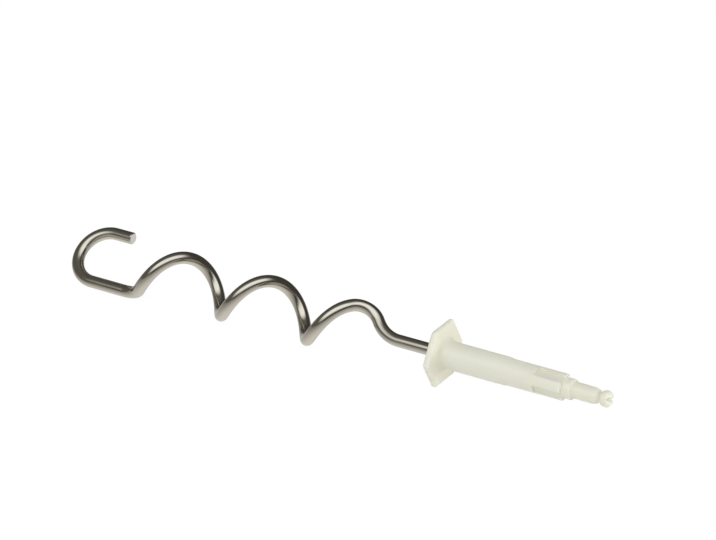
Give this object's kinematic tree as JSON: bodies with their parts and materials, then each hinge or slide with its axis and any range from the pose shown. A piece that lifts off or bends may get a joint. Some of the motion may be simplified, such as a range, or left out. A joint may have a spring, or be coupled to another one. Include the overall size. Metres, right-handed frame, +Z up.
{
  "type": "hand mixer dough hook",
  "caption": "Dough hook of round steel wire bent into an open left-hand spiral with a looped end, held in a pale plastic drive shank with a hexagonal collar and a slotted snap head.",
  "frame": {"origin": "on the shank's axis, in the collar's seat face", "axes": "+X along the shank's axis towards its tip, with the spiral towards -X; +Z up as the hook lies at rest, with one flat of the collar down"},
  "size_m": [0.2006, 0.024, 0.019],
  "materials": {
    "steel_wire": "polished stainless rod",
    "ivory_plastic": "soft gloss, moulded"
  },
  "bodies": {
    "root": {"wire_hook": "steel_wire", "drive_shank": "ivory_plastic"}
  },
  "joints": []
}
